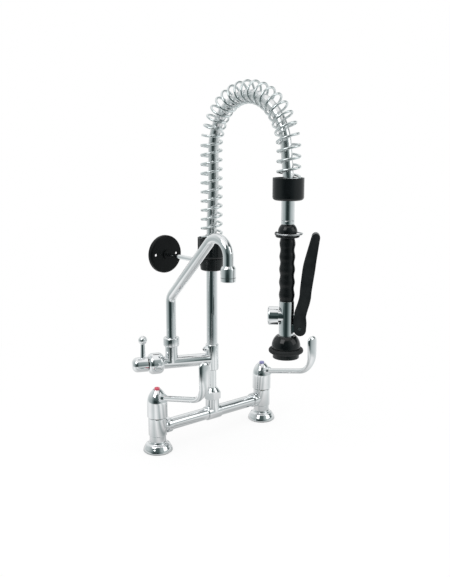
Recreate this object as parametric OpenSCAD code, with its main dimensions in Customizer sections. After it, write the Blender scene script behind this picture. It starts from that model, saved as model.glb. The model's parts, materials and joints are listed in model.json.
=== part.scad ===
// Two-hole deck-mounted pre-rinse faucet with a spring arch, a spray gun and a side tap.
// Frame: the deck is at Z = 0, X runs along the bridge with the hot side at -X,
// the user stands at -Y and the wall is at +Y. All sizes are in millimetres.

/* [Deck mounting] */
// Distance between the two inlets
inlet_spacing = 240; // [200:5:280]
// Inside diameter of a threaded inlet
inlet_bore_d = 18.6; // [16:0.1:20]
// Depth of a threaded inlet
inlet_depth = 12; // [8:0.5:13]
// Outer diameter of a deck flange
flange_d = 50; // [44:1:60]
// Height of a deck flange
flange_h = 17; // [15:0.5:22]
// Thickness of the rubber ring under a flange
gasket_t = 1.5; // [1:0.25:3]

/* [Pillars] */
// Diameter of the shank between flange and pillar
shank_d = 28; // [26:0.5:29]
// Height of the shank that shows above a flange
shank_gap = 10; // [4:0.5:16]
// Diameter of a pillar
pillar_d = 31; // [30:0.5:34]
// Height of a pillar
pillar_h = 32; // [30:0.5:40]
// Height of the bridge axis above the foot of a pillar
bridge_rise = 13; // [12:0.5:14]
// Diameter of the ceramic cartridge
cartridge_d = 20; // [18:0.5:22]

/* [Lever handles] */
// Diameter of a handle hub
hub_d = 34.4; // [33:0.2:40]
// Height of the straight part of a hub
hub_straight = 23; // [18:0.5:27]
// Height of the domed part of a hub
hub_taper = 24.5; // [21:0.5:30]
// Diameter of a hub at its top
hub_top_d = 14; // [12:0.5:17]
// Diameter of the coloured index button
index_d = 9; // [7:0.5:10]
// Reach of a lever from the pillar axis
lever_reach = 128; // [110:1:150]
// Height of a lever's tip above its hub's foot
lever_rise = 125; // [110:1:150]
// Slope of the long leg of a lever
lever_slope = 13; // [5:0.5:18]
// Diameter of a lever at its root
lever_root_d = 9.3; // [8:0.1:11]
// Width of the paddle at a lever's tip
paddle_w = 21; // [16:0.5:26]
// Thickness of the paddle at a lever's tip
paddle_t = 10.5; // [8:0.5:14]

/* [Bridge and column] */
// Outer diameter of the bridge tubes
bridge_d = 21; // [18:0.5:23]
// Outer diameter of the tee's sleeve and neck
tee_d = 25; // [24:0.5:29]
// Height of the tee's neck above the bridge axis
tee_rise = 32.5; // [26:0.5:40]
// Outer diameter of the short column under the tap body
column_d = 15; // [14:0.5:17]
// Height of the side arm above the deck
arm_z = 140.6; // [130:0.5:160]
// Outer diameter of the riser tube
riser_d = 19; // [17:0.5:21]
// Height of the riser's top above the deck
riser_top = 331; // [300:1:380]
// Diameter of the tap body
tap_body_d = 23; // [22:0.5:26]

/* [Side tap and spout] */
// Turn of the side arm from -X toward the wall
arm_turn = 23; // [0:1:30]
// Diameter of the side arm
arm_d = 21.5; // [20:0.5:24]
// Distance from the riser to the spout's axis
spout_offset = 73.5; // [60:0.5:76]
// Distance from the riser to the end of the valve globe
globe_end = 116; // [112:0.5:130]
// Diameter of the valve globe
globe_d = 36.5; // [32:0.5:40]
// Length of the valve globe
globe_l = 28; // [24:0.5:32]
// Diameter of the side tap's hub
side_hub_d = 25.5; // [24:0.5:30]
// Length of the side tap's hub
side_hub_l = 27; // [24:0.5:32]
// Height of the side lever's ball above the arm axis
side_lever_l = 43; // [36:0.5:60]
// Diameter of the side lever's ball
side_ball_d = 15; // [12:0.5:18]
// Outer diameter of the spout tube
spout_d = 17; // [15:0.5:18]
// Reach of the spout
spout_reach = 152; // [130:1:200]
// Height of the spout's lower bend above the arm axis
spout_knee = 116; // [90:1:140]
// Radius of the hook at the spout's end
hook_r = 27; // [22:0.5:32]
// Diameter of the aerator housing
aerator_d = 24; // [21:0.5:28]
// Height of the aerator housing
aerator_h = 25; // [20:0.5:30]

/* [Wall bracket] */
// Distance from the riser's axis to the wall
wall_y = 141; // [110:1:180]
// Diameter of the wall plate
rosette_d = 70; // [62:1:90]
// Thickness of the wall plate
rosette_t = 9; // [8:0.5:12]
// Distance between the two screw holes
rosette_hole_spacing = 46; // [40:1:52]
// Diameter of a screw hole
rosette_hole_d = 4.8; // [4:0.1:6]
// Diameter of the bracket rod
rod_d = 8; // [6:0.5:10]

/* [Spring and hose] */
// Outer diameter of the spring
spring_d = 38; // [34:0.5:40]
// Wire diameter of the spring
wire_d = 3.8; // [2.8:0.1:4.4]
// Number of turns of the spring
spring_turns = 36; // [28:1:40]
// Radius of the arch's centre line
arch_r = 92.5; // [80:0.5:110]
// Height of the arch's centre above the deck
arch_z = 505; // [480:1:560]
// Outer diameter of the hose
hose_d = 17.5; // [14:0.5:18]
// Outer diameter of the two spring cups
cup_d = 48.5; // [46:0.5:56]
// Height of the lower cup
lower_cup_h = 36; // [28:0.5:44]
// Height of the upper cup
upper_cup_h = 34; // [28:0.5:44]
// Height of the upper cup's underside above the deck
upper_cup_z = 433; // [420:1:470]

/* [Spray gun] */
// Turn of the gun about its own axis, from +X toward the user
gun_turn = 45; // [0:1:90]
// Length of the chrome tube over the gun
end_tube_l = 31; // [26:0.5:40]
// Outer diameter of the chrome tube over the gun
end_tube_d = 20.5; // [18:0.5:22]
// Length of the grip
grip_l = 100.5; // [94:0.5:110]
// Diameter of the grip over its rings
grip_d = 24.8; // [23:0.2:25.2]
// Number of rounded rings on the grip
grip_rings = 5; // [3:1:8]
// Diameter of the grip's guard disc
guard_d = 37.6; // [34:0.2:38]
// Length of the valve body
valve_l = 55.5; // [52:0.5:62]
// Diameter of the valve body
valve_d = 23.5; // [22.6:0.1:24]
// Diameter of the valve cap
valve_cap_d = 29; // [25:0.5:32]
// Height of the spray bell
bell_h = 36; // [33:0.5:42]
// Diameter of the spray bell's mouth
bell_d = 42; // [38:0.5:46]
// Outer diameter of the rubber bumper
bumper_d = 55; // [50:0.5:60]
// Length of the trigger above its pivot
trigger_l = 150; // [146:0.5:152]
// Width of the trigger
trigger_w = 21; // [20.4:0.1:24]
// Wire diameter of the hold-down ring
hold_wire_d = 2.4; // [2:0.1:3]

/* [Clearances] */
// Radial clearance of a turning or sliding fit
fit_gap = 0.05; // [0.03:0.01:0.09]
// Gap between faces that move past each other
face_gap = 0.4; // [0.3:0.05:0.5]

/* [Hidden] */
$fn = 96;

chrome = [0.82, 0.84, 0.85];
black = [0.08, 0.08, 0.09];
brass = [0.78, 0.65, 0.36];
steel = [0.62, 0.63, 0.65];
rubber = [0.15, 0.15, 0.16];

// Extra length that lets a cut run clear of the face it opens
cut = 1;

// Heights of the mixer, counted up from the deck
pillar_z = gasket_t + flange_h + shank_gap;
bridge_z = pillar_z + bridge_rise;
pillar_top = pillar_z + pillar_h;
hub_gap = 1.5;
hub_z = pillar_top + hub_gap;
hub_top = hub_z + hub_straight + hub_taper;
neck_top = bridge_z + tee_rise;

// Mixer fittings
gasket_d = flange_d - 4;
shank_spigot_d = 22;
shank_spigot_l = bridge_rise - 7;
strainer_d = inlet_bore_d - 1.6;
strainer_t = 1.2;
check_valve_d = 15;
check_valve_l = 18;
water_d = 11;
boss_reach = 19;
bridge_nut_d = bridge_d + 5;
bridge_nut_l = 9;
bridge_wall = 1.8;
tee_half = 15;
tee_socket = 8;
index_h = 7.5;
index_depth = 3.5;
spindle_d = 8;
disc_d = cartridge_d - 5.5;
disc_t = 3;
cartridge_foot = pillar_top - 12;
cartridge_hex_h = 6.5;
cartridge_hex_af = cartridge_d + 2;
cartridge_neck_d = 15;
cartridge_top = pillar_top + 13.5;
hub_cavity_d = cartridge_hex_af / cos(30) + 1.6;
lever_boss_d = 15;
lever_boss_r = 20;

// Column and tap body
column_socket = 12;
collar_d = tee_d - 2;
collar_t = 2.5;
column_nut_af = tee_d + 3;
column_nut_drop = 6;
column_nut_h = 13;
column_cone_h = 7;
tap_foot = arm_z - 19.6;
tap_top = arm_z + 27;
riser_socket = 14;
riser_wall = 1.5;
lock_boss_d = 9;
lock_boss_r = tap_body_d / 2 + 5;
set_screw_d = 5;
spout_seat_d = spout_d + 5;
spout_seat_h = 33;
spout_seat_z = arm_z + spout_seat_h;
spout_bore_d = spout_d + 1.1;
spout_nut_d = spout_seat_d + 6;
spout_nut_h = 16;
spout_nut_lap = 4;
slip_ring_t = 2.5;
globe_start = globe_end - globe_l;
side_cartridge_d = 20;
side_cartridge_l = 20;
side_spindle_d = 7;
spout_x = -spout_offset * cos(arm_turn);
spout_y = spout_offset * sin(arm_turn);
spout_foot_z = spout_seat_z - 22;
spout_knee_z = arm_z + spout_knee;
knee_r = 20;
spout_wall = 1.4;
hook_z = spout_knee_z + spout_reach - hook_r * (1 + sqrt(2));
outlet_z = hook_z - 32;

// Bracket, cups and arch
cup_floor_t = 4;
cup_wall = 3.2;
cup_round = 5;
cup_floor_z = riser_top - 10;
clamp_h = 20.5;
clamp_z = cup_floor_z - clamp_h;
clamp_top_d = 44;
clamp_foot_d = 39;
rod_z = clamp_z + clamp_h / 2 + 1;
rod_start = riser_d / 2 + 3;
clamp_boss_d = rod_d + 8;
clamp_boss_y = clamp_top_d / 2 + 5;
rosette_wall = 3;
rosette_edge_r = 4;
union_d = 24;
union_base = riser_top - 6;
union_h = 20;
union_top = union_base + union_h;
tail_d = 10;
tail_l = 9;
spring_r = (spring_d - wire_d) / 2;
spring_foot = cup_floor_z + cup_floor_t + face_gap + wire_d / 2;
spring_end = upper_cup_z + cup_floor_t + wire_d / 2 + 0.05;
leg_a = arch_z - spring_foot;
leg_b = arch_z - spring_end;
arc_l = PI * arch_r;
spring_l = leg_a + arc_l + leg_b;
closed_pitch = wire_d + 0.4;
wire_sides = 6;
turn_steps = 12;
ferrule_d = hose_d + 4;
ferrule_l = 16;
ferrule_z = union_top + face_gap;
hose_foot = ferrule_z + 2;
hose_inset = (spring_d - 2 * wire_d - hose_d) / 2 - 1;
hose_sides = 12;
hose_step = 12;
hose_bend = ferrule_z + ferrule_l + hose_step - spring_foot;
hose_lean = 75;

// Spray gun, counted down from the upper cup
gun_y = -2 * arch_r;
seam_z = upper_cup_z - end_tube_l;
hose_top = seam_z + 12;
spigot_d = 11;
swivel_h = 6 - face_gap;
swivel_z = seam_z - face_gap - swivel_h;
dome_h = 12.6;
collar_neck_h = 3.4;
collar_neck_d = 28;
guard_t = 4;
collar_z = swivel_z - dome_h - collar_neck_h - guard_t;
grip_z = collar_z - grip_l;
grip_dip = 1.5;
tube_d = 16;
valve_z = grip_z - valve_l;
stem_z = grip_z - 24;
stem_d = 5;
stem_tip = valve_d / 2 + 2.8;
stem_pad_r = 3;
stem_plate_d = 15;
stem_plate_t = 2;
cap_depth = 16.5;
cap_end = valve_d / 2 + 17.5;
cap_wall = 2.5;
pivot_u = 21;
pivot_z = valve_z + 13;
pin_d = 5;
lug_w = trigger_w - 4.8;
lug_r = 6.5;
trigger_wall = 2.1;
trigger_web = 3;
bell_z = valve_z - bell_h;
bell_top_d = 30;
bumper_z = bell_z + 8;
bumper_h = 8;
nozzle_d = 15;
plate_t = 3;
plate_inset = 2;
jet_d = 1.8;
hold_outer_d = 42;
hold_centre_u = 2.6;
hold_z = collar_z + guard_t + hold_wire_d / 2 + 0.35;
hold_hinge_u = hold_centre_u - (hold_outer_d - hold_wire_d) / 2;

// ---- Helpers ----

// Height of a lever's axis above the deck at a distance from the pillar axis
function lever_z(r) = hub_z + 32 + r * tan(lever_slope);

// Smooth step from 0 at a to 1 at b
function ease(a, b, x) =
    let (t = min(1, max(0, (x - a) / (b - a)))) t * t * (3 - 2 * t);

// Points of a smooth curve through a list of points, with n steps between each two
function smooth(p, n) = [
    for (i = [0 : len(p) - 2])
        let (
            a = p[max(0, i - 1)],
            b = p[i],
            c = p[i + 1],
            d = p[min(len(p) - 1, i + 2)]
        )
        for (k = [0 : n - 1])
            let (t = k / n)
                ((2 * b) + (c - a) * t + (2 * a - 5 * b + 4 * c - d) * t * t
                    + (3 * b - a - 3 * c + d) * t * t * t) / 2,
    p[len(p) - 1]
];

// Closed skin over a list of rings that have the same number of points
module skin(rings) {
    n = len(rings[0]);
    last = len(rings) - 1;
    polyhedron(
        points = [for (ring = rings) each ring],
        faces = [
            [for (j = [0 : n - 1]) j],
            for (i = [0 : last - 1])
                for (j = [0 : n - 1])
                    let (a = i * n + j, b = i * n + (j + 1) % n)
                        each [[a, b + n, b], [a, a + n, b + n]],
            [for (j = [n - 1 : -1 : 0]) last * n + j]
        ]
    );
}

// Ring of points about c, in the plane of the unit vectors e and f
function ring(c, e, f, re, rf, n) =
    [for (j = [0 : n - 1]) c + re * cos(360 * j / n) * e + rf * sin(360 * j / n) * f];

function unit(v) = v / norm(v);

// Cylinder from a height to another height
module rod(d, z0, z1) {
    translate([0, 0, z0]) cylinder(d = d, h = z1 - z0);
}

// Ring from a height to another height
module pipe(d, bore, z0, z1) {
    difference() {
        rod(d, z0, z1);
        rod(bore, z0 - cut, z1 + cut);
    }
}

// Half profile of a disc whose upper edge is rounded
module round_top(r, h, edge) {
    square([r, h - edge]);
    square([r - edge, h]);
    translate([r - edge, h - edge]) circle(edge);
}

// Half profile of a disc whose two edges are rounded
module round_both(r, h, edge) {
    translate([0, edge]) square([r, h - 2 * edge]);
    square([r - edge, h]);
    for (z = [edge, h - edge]) translate([r - edge, z]) circle(edge);
}

// Hexagon prism measured across its flats
module hex(af, z0, z1) {
    translate([0, 0, z0]) cylinder(d = af / cos(30), h = z1 - z0, $fn = 6);
}

// Puts the children on both inlets
module both_inlets() {
    for (side = [-1, 1]) translate([side * inlet_spacing / 2, 0, 0]) children();
}

// Puts the children on one inlet: -1 is hot and 1 is cold
module at_inlet(side) {
    translate([side * inlet_spacing / 2, 0, 0]) children();
}

// Turns Z to run out along the side arm
module along_arm() {
    translate([0, 0, arm_z]) rotate([0, 0, 180 - arm_turn]) rotate([0, 90, 0]) children();
}

// Turns Z to run out toward -X at the height of the riser's lock screw
module along_lock() {
    translate([0, 0, tap_top - riser_socket / 2]) rotate([0, -90, 0]) children();
}

// Puts the children on the spout's axis at deck height
module at_spout() {
    translate([spout_x, spout_y, 0]) children();
}

// Puts the children on the gun's axis, with X toward the trigger
module at_gun() {
    translate([0, gun_y, 0]) rotate([0, 0, -gun_turn]) children();
}

// Turns Z to run along X from the gun's axis, at a height
module across_gun(z) {
    translate([0, 0, z]) rotate([0, 90, 0]) children();
}

// ---- Deck mounting and pillars ----

module deck_gaskets() {
    color(rubber) both_inlets() pipe(gasket_d, shank_d, 0, gasket_t);
}

// Bell-shaped cover that slides over the shank: steep skirt, shoulder and short neck
module base_flanges() {
    skirt_r = flange_d / 2;
    neck_r = shank_d / 2 + 1.4;
    bell = smooth([
        [skirt_r, 1.5],
        [skirt_r - 0.9, 0.3 * flange_h],
        [skirt_r - 2.7, 0.5 * flange_h],
        [(skirt_r + neck_r) / 2, 0.71 * flange_h],
        [neck_r + 1.1, 0.83 * flange_h],
        [neck_r, flange_h]
    ], 4);
    color(chrome) both_inlets() translate([0, 0, gasket_t]) rotate_extrude()
        polygon(concat([[shank_d / 2, 0], [skirt_r, 0]], bell, [[shank_d / 2, flange_h]]));
}

module inlet_shanks() {
    color(chrome) both_inlets() difference() {
        union() {
            rod(shank_d, 0, pillar_z);
            rod(shank_spigot_d, 0, pillar_z + shank_spigot_l);
        }
        rod(inlet_bore_d, -cut, inlet_depth);
        rod(strainer_d, inlet_depth - cut, inlet_depth + strainer_t);
        rod(check_valve_d, inlet_depth, inlet_depth + strainer_t + check_valve_l);
        rod(water_d, inlet_depth, pillar_z + shank_spigot_l + cut);
    }
}

// Perforated discs that keep grit out of the cartridges
module inlet_strainers() {
    hole_d = 2;
    color(steel) both_inlets() translate([0, 0, inlet_depth]) difference() {
        cylinder(d = strainer_d, h = strainer_t);
        for (row = [1, 2])
            for (i = [0 : 6 * row - 1])
                rotate([0, 0, 60 * i / row]) translate([3.2 * row, 0, -cut])
                    cylinder(d = hole_d, h = strainer_t + 2 * cut, $fn = 24);
    }
}

// Non-return cartridges: a cage with a poppet guide
module check_valves() {
    z0 = inlet_depth + strainer_t;
    color(black) both_inlets() {
        difference() {
            rod(check_valve_d, z0, z0 + check_valve_l);
            rod(check_valve_d - 5, z0 + 3, z0 + check_valve_l + cut);
            rod(6, z0 - cut, z0 + 4);
        }
        rod(5, z0 + 2, z0 + check_valve_l - 2);
        rod(8, z0 + 3, z0 + 5);
    }
}

module pillar_body(side) {
    boss_x = side < 0 ? 0 : -boss_reach;
    color(chrome) at_inlet(side) difference() {
        union() {
            translate([0, 0, pillar_z]) rotate_extrude() round_both(pillar_d / 2, pillar_h, 1.5);
            translate([boss_x, 0, bridge_z]) rotate([0, 90, 0]) cylinder(d = bridge_d, h = boss_reach);
        }
        rod(shank_spigot_d, pillar_z - cut, pillar_z + shank_spigot_l);
        rod(water_d, pillar_z, pillar_top);
        rod(cartridge_d, cartridge_foot, pillar_top + cut);
        translate([side < 0 ? 0 : -boss_reach - cut, 0, bridge_z]) rotate([0, 90, 0])
            cylinder(d = water_d + 1, h = boss_reach + cut);
    }
}

module pillar_body_hot() { pillar_body(-1); }
module pillar_body_cold() { pillar_body(1); }

// Quarter-turn headwork: threaded body, hexagon and neck
module cartridge(side) {
    color(brass) at_inlet(side) difference() {
        union() {
            rod(cartridge_d, cartridge_foot, pillar_top);
            hex(cartridge_hex_af, pillar_top, pillar_top + cartridge_hex_h);
            rod(cartridge_neck_d, pillar_top, cartridge_top);
        }
        rod(spindle_d + 2 * fit_gap, cartridge_foot + 3, cartridge_top + cut);
        rod(disc_d + 2 * face_gap, cartridge_foot + 2, cartridge_foot + 2 + disc_t + 2 * face_gap);
        translate([disc_d / 4, 0, cartridge_foot - cut]) cylinder(d = 5, h = 4);
    }
}

module cartridge_hot() { cartridge(-1); }
module cartridge_cold() { cartridge(1); }

// Collars that draw the bridge tubes onto the pillars
module bridge_nuts() {
    half = inlet_spacing / 2 - boss_reach;
    color(chrome) for (side = [-1, 1])
        translate([side * half, 0, bridge_z]) rotate([0, 90, 0])
            translate([0, 0, -bridge_nut_l / 2 - side * 2]) rotate_extrude() difference() {
                round_both(bridge_nut_d / 2, bridge_nut_l, 1.2);
                translate([0, -cut]) square([bridge_d / 2, bridge_nut_l + 2 * cut]);
            }
}

module bridge_tubes() {
    start = tee_half - tee_socket;
    finish = inlet_spacing / 2 - boss_reach;
    color(chrome) for (side = [-1, 1])
        translate([0, 0, bridge_z]) rotate([0, side * 90, 0])
            pipe(bridge_d, bridge_d - 2 * bridge_wall, start, finish);
}

module bridge_tee() {
    color(chrome) difference() {
        union() {
            translate([-tee_half, 0, bridge_z]) rotate([0, 90, 0])
                rotate_extrude() round_both(tee_d / 2, 2 * tee_half, 1.5);
            rod(tee_d - 1, bridge_z, neck_top);
        }
        for (side = [-1, 1])
            translate([0, 0, bridge_z]) rotate([0, side * 90, 0])
                rod(bridge_d, tee_half - tee_socket, tee_half + cut);
        translate([-tee_half, 0, bridge_z]) rotate([0, 90, 0]) cylinder(d = water_d + 1, h = 2 * tee_half);
        rod(water_d, bridge_z, neck_top + cut);
        rod(column_d, neck_top - column_socket, neck_top + cut);
    }
}

// ---- Column, tap body and riser ----

module column_nut() {
    foot = neck_top - column_nut_drop;
    hex_top = foot + column_nut_h;
    color(chrome) difference() {
        intersection() {
            union() {
                hex(column_nut_af, foot, hex_top);
                translate([0, 0, hex_top])
                    cylinder(d1 = column_nut_af, d2 = column_d + 4, h = column_cone_h);
            }
            // Chamfers on the hexagon's corners
            translate([0, 0, foot]) rotate_extrude() polygon([
                [0, 0],
                [column_nut_af / 2, 0],
                [column_nut_af / 2 + 3, 2],
                [column_nut_af / 2 + 3, column_nut_h - 2],
                [column_nut_af / 2, column_nut_h],
                [column_d / 2 + 2, column_nut_h + column_cone_h],
                [0, column_nut_h + column_cone_h]
            ]);
        }
        rod(tee_d - 1, foot - cut, neck_top);
        rod(collar_d, foot, neck_top + collar_t);
        rod(column_d, foot, hex_top + column_cone_h + cut);
    }
}

module lower_column() {
    color(chrome) difference() {
        union() {
            rod(column_d, neck_top - column_socket, tap_foot + column_socket);
            rod(collar_d, neck_top, neck_top + collar_t);
        }
        rod(column_d - 4, neck_top - column_socket - cut, tap_foot + column_socket + cut);
    }
}

// One casting: upright body, side arm, spout seat and valve globe
module tap_body() {
    color(chrome) difference() {
        union() {
            translate([0, 0, tap_foot]) rotate_extrude()
                round_both(tap_body_d / 2, tap_top - tap_foot, 2);
            along_arm() {
                cylinder(d = arm_d, h = globe_start + globe_l / 2);
                translate([0, 0, globe_start]) rotate_extrude() round_both(globe_d / 2, globe_l, 9);
            }
            at_spout() rod(spout_seat_d, arm_z, spout_seat_z);
            along_lock() cylinder(d = lock_boss_d, h = lock_boss_r);
        }
        rod(column_d, tap_foot - cut, tap_foot + column_socket);
        rod(water_d, tap_foot, tap_top);
        rod(riser_d, tap_top - riser_socket, tap_top + cut);
        along_arm() {
            cylinder(d = water_d + 1, h = globe_start + globe_l / 2);
            rod(side_cartridge_d, globe_end - side_cartridge_l, globe_end + cut);
        }
        at_spout() rod(water_d, arm_z, spout_seat_z);
        at_spout() rod(spout_bore_d, spout_foot_z - 1, spout_seat_z + cut);
        along_lock() cylinder(d = set_screw_d, h = lock_boss_r + cut);
    }
}

// Socket screws that lock the riser in the tap body and in the bracket
module set_screws() {
    color(steel) {
        along_lock() socket_screw(riser_d / 2, lock_boss_r + 3, set_screw_d);
        translate([0, 0, clamp_z + clamp_h / 2]) rotate([0, 90, 0])
            socket_screw(riser_d / 2, clamp_foot_d / 2 - 1, set_screw_d);
    }
}

// Screw along Z with a hexagon socket in its outer end
module socket_screw(z0, z1, d) {
    difference() {
        rod(d, z0, z1);
        hex(d * 0.45, z1 - 3, z1 + cut);
    }
}

module riser_tube() {
    color(chrome) pipe(riser_d, riser_d - 2 * riser_wall, tap_top - riser_socket, riser_top);
}

// ---- Wall bracket ----

module bracket_clamp() {
    color(black) difference() {
        union() {
            translate([0, 0, clamp_z]) rotate_extrude() {
                polygon([
                    [0, 0],
                    [clamp_foot_d / 2 - 1.5, 0],
                    [clamp_foot_d / 2, 1.5],
                    [clamp_top_d / 2, clamp_h],
                    [0, clamp_h]
                ]);
            }
            translate([0, 0, rod_z]) rotate([-90, 0, 0]) cylinder(d = clamp_boss_d, h = clamp_boss_y);
        }
        rod(riser_d, clamp_z - cut, cup_floor_z + cut);
        translate([0, rod_start, rod_z]) rotate([-90, 0, 0]) cylinder(d = rod_d, h = clamp_boss_y);
        translate([0, 0, clamp_z + clamp_h / 2]) rotate([0, 90, 0])
            cylinder(d = set_screw_d, h = clamp_top_d);
    }
}

module bracket_rod() {
    color(chrome) translate([0, rod_start, rod_z]) rotate([-90, 0, 0])
        cylinder(d = rod_d, h = wall_y - rod_start - rosette_wall);
}

// Hollow wall plate with a socket for the rod and two countersunk screw holes
module wall_rosette() {
    socket_d = rod_d + 8;
    color(black) translate([0, wall_y, rod_z]) rotate([90, 0, 0]) difference() {
        union() {
            rotate_extrude() difference() {
                round_top(rosette_d / 2, rosette_t, rosette_edge_r);
                translate([0, -cut])
                    square([rosette_d / 2 - rosette_wall, rosette_t - rosette_wall + cut]);
            }
            cylinder(d = socket_d, h = rosette_t + 3);
        }
        translate([0, 0, rosette_wall]) cylinder(d = rod_d, h = rosette_t + 3);
        for (side = [-1, 1]) translate([side * rosette_hole_spacing / 2, 0, 0]) {
            cylinder(d = rosette_hole_d, h = rosette_t + cut);
            translate([0, 0, rosette_t - 1.2])
                cylinder(d1 = rosette_hole_d, d2 = rosette_hole_d + 4, h = 2);
        }
    }
}

// ---- Cups, union, spring and hose ----

// Cup that holds an end of the spring, open at the top
module spring_cup(bore, h) {
    rotate_extrude() difference() {
        union() {
            translate([0, cup_round]) square([cup_d / 2, h - cup_round]);
            square([cup_d / 2 - cup_round, h]);
            translate([cup_d / 2 - cup_round, cup_round]) circle(cup_round);
        }
        translate([0, cup_floor_t]) square([cup_d / 2 - cup_wall, h]);
        translate([0, -cut]) square([bore / 2, h]);
    }
}

module lower_cup() {
    color(black) translate([0, 0, cup_floor_z]) spring_cup(riser_d, lower_cup_h);
}

// Nut on the riser's top, with the bore that the hose tail turns in
module hose_union() {
    color(brass) difference() {
        union() {
            rod(union_d, union_base, union_top);
            hex(union_d, union_base + 3, union_top - 5);
        }
        rod(riser_d, union_base - cut, riser_top);
        rod(tail_d + 2 * fit_gap, union_base, union_top + cut);
    }
}

// Centre of the arch's cross-section at a distance along the spring
function arch_angle(s) = 180 * min(1, max(0, (s - leg_a) / arc_l));
function arch_out(s) = [0, cos(arch_angle(s)), sin(arch_angle(s))];
function arch_point(s) =
    [0, -arch_r, arch_z] + arch_r * arch_out(s)
    - [0, 0, max(0, leg_a - s) + max(0, s - leg_a - arc_l)];

// Distance along the arch after a number of turns, with a closed turn at each end
function spring_s(t) =
    t < 1 ? t * closed_pitch
    : t > spring_turns - 1 ? spring_l - (spring_turns - t) * closed_pitch
    : closed_pitch + (t - 1) * (spring_l - 2 * closed_pitch) / (spring_turns - 2);
function wire_out(t) = sin(360 * t) * [1, 0, 0] - cos(360 * t) * arch_out(spring_s(t));
function wire_point(t) = arch_point(spring_s(t)) + spring_r * wire_out(t);
function wire_ring(t) =
    let (along = unit(wire_point(t + 0.01) - wire_point(t - 0.01)))
        ring(wire_point(t), wire_out(t), unit(cross(along, wire_out(t))),
            wire_d / 2, wire_d / 2, wire_sides);

module spring() {
    color(chrome) skin([for (k = [0 : spring_turns * turn_steps]) wire_ring(k / turn_steps)]);
}

// The hose hugs the inner side of the arch and is central in both cups
function hose_point(s) =
    let (
        a = ease(hose_bend, hose_bend + hose_lean, s),
        b = ease(spring_l - 20, spring_l - leg_b - 10, s)
    )
        arch_point(s) - hose_inset * a * b * arch_out(s);
function hose_ring(s) =
    let (along = unit(hose_point(s + 0.1) - hose_point(s - 0.1)))
        ring(hose_point(s), [1, 0, 0], cross(along, [1, 0, 0]), hose_d / 2, hose_d / 2, hose_sides);

module hose() {
    start = hose_foot - spring_foot;
    finish = spring_l + spring_end - hose_top;
    steps = ceil((finish - start) / hose_step);
    color([0.35, 0.37, 0.38])
        skin([for (i = [0 : steps]) hose_ring(start + (finish - start) * i / steps)]);
}

// Crimped sleeve and turning tail at the foot of the hose
module hose_ferrule() {
    color(steel) difference() {
        union() {
            rod(ferrule_d, ferrule_z, ferrule_z + ferrule_l);
            rod(tail_d, ferrule_z - tail_l, ferrule_z + 1);
        }
        rod(hose_d, hose_foot, ferrule_z + ferrule_l + cut);
        rod(tail_d - 3, ferrule_z - tail_l - cut, hose_foot + cut);
    }
}

module upper_cup() {
    color(black) translate([0, gun_y, upper_cup_z]) spring_cup(hose_d, upper_cup_h);
}

// Chrome tube that holds the hose's end and turns in the gun
module hose_end_tube() {
    color(chrome) translate([0, gun_y, 0]) difference() {
        union() {
            translate([0, 0, seam_z]) rotate_extrude() round_both(end_tube_d / 2, end_tube_l, 0.8);
            rod(spigot_d, swivel_z - 10, seam_z + 2);
        }
        rod(hose_d, hose_top, upper_cup_z + cut);
        rod(spigot_d - 3, swivel_z - 10 - cut, hose_top + cut);
    }
}

// ---- Spray gun ----

module swivel_nut() {
    color(chrome) translate([0, gun_y, swivel_z]) rotate_extrude() difference() {
        round_both(end_tube_d / 2, swivel_h, 0.8);
        translate([0, -cut]) square([spigot_d / 2 + fit_gap, swivel_h + 2 * cut]);
    }
}

// Brass tube inside the grip that carries the water to the valve
module grip_tube() {
    color(brass) translate([0, gun_y, 0])
        pipe(tube_d, spigot_d + 2 * fit_gap, grip_z - 8, swivel_z);
}

// Moulded collar: guard disc, neck, dome and the eye that the hold-down ring hangs in
module grip_collar() {
    dome_r = collar_neck_d / 2 + 1;
    eye_w = 3;
    color(black) at_gun() difference() {
        union() {
            translate([0, 0, collar_z]) rotate_extrude() {
                square([guard_d / 2 - guard_t / 2, guard_t]);
                translate([guard_d / 2 - guard_t / 2, guard_t / 2]) circle(guard_t / 2);
                square([collar_neck_d / 2, guard_t + collar_neck_h]);
            }
            translate([0, 0, swivel_z - dome_h]) rotate_extrude() intersection() {
                square([dome_r, dome_h]);
                translate([0, 1]) circle(dome_r);
            }
            translate([hold_hinge_u, 0, collar_z + guard_t / 2]) intersection() {
                translate([-3, -eye_w / 2, 0]) cube([6, eye_w, hold_z - collar_z + 1]);
                translate([0, eye_w, hold_z - collar_z - guard_t / 2]) rotate([90, 0, 0])
                    cylinder(d = hold_wire_d + 3.4, h = 2 * eye_w);
            }
        }
        translate([0, 0, collar_z - cut]) cylinder(d = tube_d, h = swivel_z - collar_z + 2 * cut);
        translate([hold_hinge_u, eye_w, hold_z]) rotate([90, 0, 0])
            cylinder(d = hold_wire_d + 2 * face_gap, h = 2 * eye_w);
    }
}

// Soft grip with rounded rings
module grip() {
    steps = 8;
    count = grip_rings * steps;
    color(black) translate([0, gun_y, grip_z]) difference() {
        rotate_extrude() polygon([
            [0, 0],
            for (i = [0 : count])
                [grip_d / 2 - grip_dip * (1 + cos(360 * i / steps)) / 2, grip_l * i / count],
            [0, grip_l]
        ]);
        translate([0, 0, -cut]) cylinder(d = tube_d, h = grip_l + 2 * cut);
    }
}

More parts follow.
